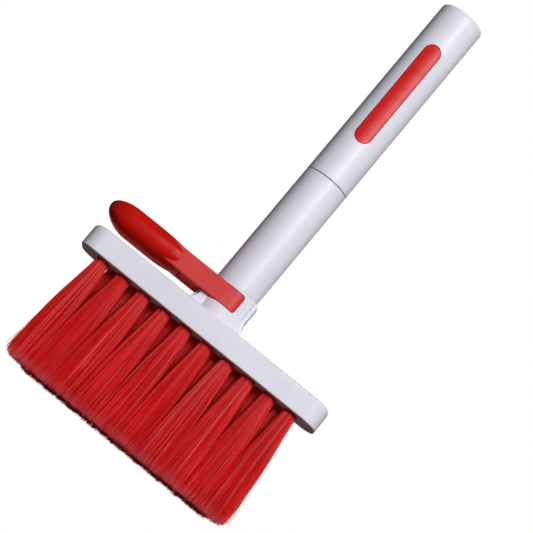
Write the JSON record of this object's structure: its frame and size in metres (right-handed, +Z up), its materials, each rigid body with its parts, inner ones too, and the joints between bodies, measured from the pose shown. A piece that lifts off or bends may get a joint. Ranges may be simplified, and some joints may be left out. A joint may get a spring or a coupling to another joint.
{
  "type": "keyboard cleaning brush",
  "caption": "Keyboard cleaning brush: a bar of red bristle tufts, a white cleaning pen as its handle with a nib and tools inside, and a red keycap puller clipped round its neck.",
  "frame": {"origin": "under the middle of the bar, in the plane of the bristle tips that the brush stands on", "axes": "+Z up the handle; +X along the bar, with the keycap puller's pad on the -X side; -Y is the front, where the inlay and the longer row of tufts are"},
  "size_m": [0.0853, 0.0166, 0.1595],
  "materials": {
    "white_plastic": "satin white moulded plastic",
    "red_bristle": "fine dark red nylon bristles",
    "red_plastic": "glossy red moulded plastic",
    "red_inlay": "satin red plastic inlay, left bare",
    "steel": "plain bright steel",
    "black_bristle": "fine black nylon bristles",
    "grey_sponge": "flocked foam"
  },
  "bodies": {
    "head": {"head_shell": "white_plastic", "tuft_plate": "white_plastic", "tuft_front_01": "red_bristle", "tuft_front_02": "red_bristle", "tuft_front_03": "red_bristle", "tuft_front_04": "red_bristle", "tuft_front_05": "red_bristle", "tuft_front_06": "red_bristle", "tuft_front_07": "red_bristle", "tuft_front_08": "red_bristle", "tuft_front_09": "red_bristle", "tuft_front_10": "red_bristle", "tuft_back_01": "red_bristle", "tuft_back_02": "red_bristle", "tuft_back_03": "red_bristle", "tuft_back_04": "red_bristle", "tuft_back_05": "red_bristle", "tuft_back_06": "red_bristle", "tuft_back_07": "red_bristle", "tuft_back_08": "red_bristle", "tuft_back_09": "red_bristle", "anchor_front_01": "steel", "anchor_front_02": "steel", "anchor_front_03": "steel", "anchor_front_04": "steel", "anchor_front_05": "steel", "anchor_front_06": "steel", "anchor_front_07": "steel", "anchor_front_08": "steel", "anchor_front_09": "steel", "anchor_front_10": "steel", "anchor_back_01": "steel", "anchor_back_02": "steel", "anchor_back_03": "steel", "anchor_back_04": "steel", "anchor_back_05": "steel", "anchor_back_06": "steel", "anchor_back_07": "steel", "anchor_back_08": "steel", "anchor_back_09": "steel"},
    "pen": {"pen_barrel": "white_plastic", "nib_holder": "white_plastic", "metal_nib": "steel"},
    "cap": {"pen_cap": "white_plastic", "cap_inlay": "red_inlay"},
    "tool": {"tool_carrier": "white_plastic", "fine_brush": "black_bristle", "flock_sponge": "grey_sponge"},
    "puller": {"keycap_puller": "red_plastic"}
  },
  "joints": [
    {"name": "pen_slide", "type": "slide", "parent": "head", "child": "pen", "axis": [0, 0, 1], "range_m": [0, 0.03]},
    {"name": "cap_slide", "type": "slide", "parent": "pen", "child": "cap", "axis": [0, 0, 1], "range_m": [0, 0.06]},
    {"name": "tool_slide", "type": "slide", "parent": "pen", "child": "tool", "axis": [0, 0, 1], "range_m": [0, 0.02]},
    {"name": "puller_slide", "type": "slide", "parent": "head", "child": "puller", "axis": [-1, 0, 0], "range_m": [0, 0.05]}
  ]
}
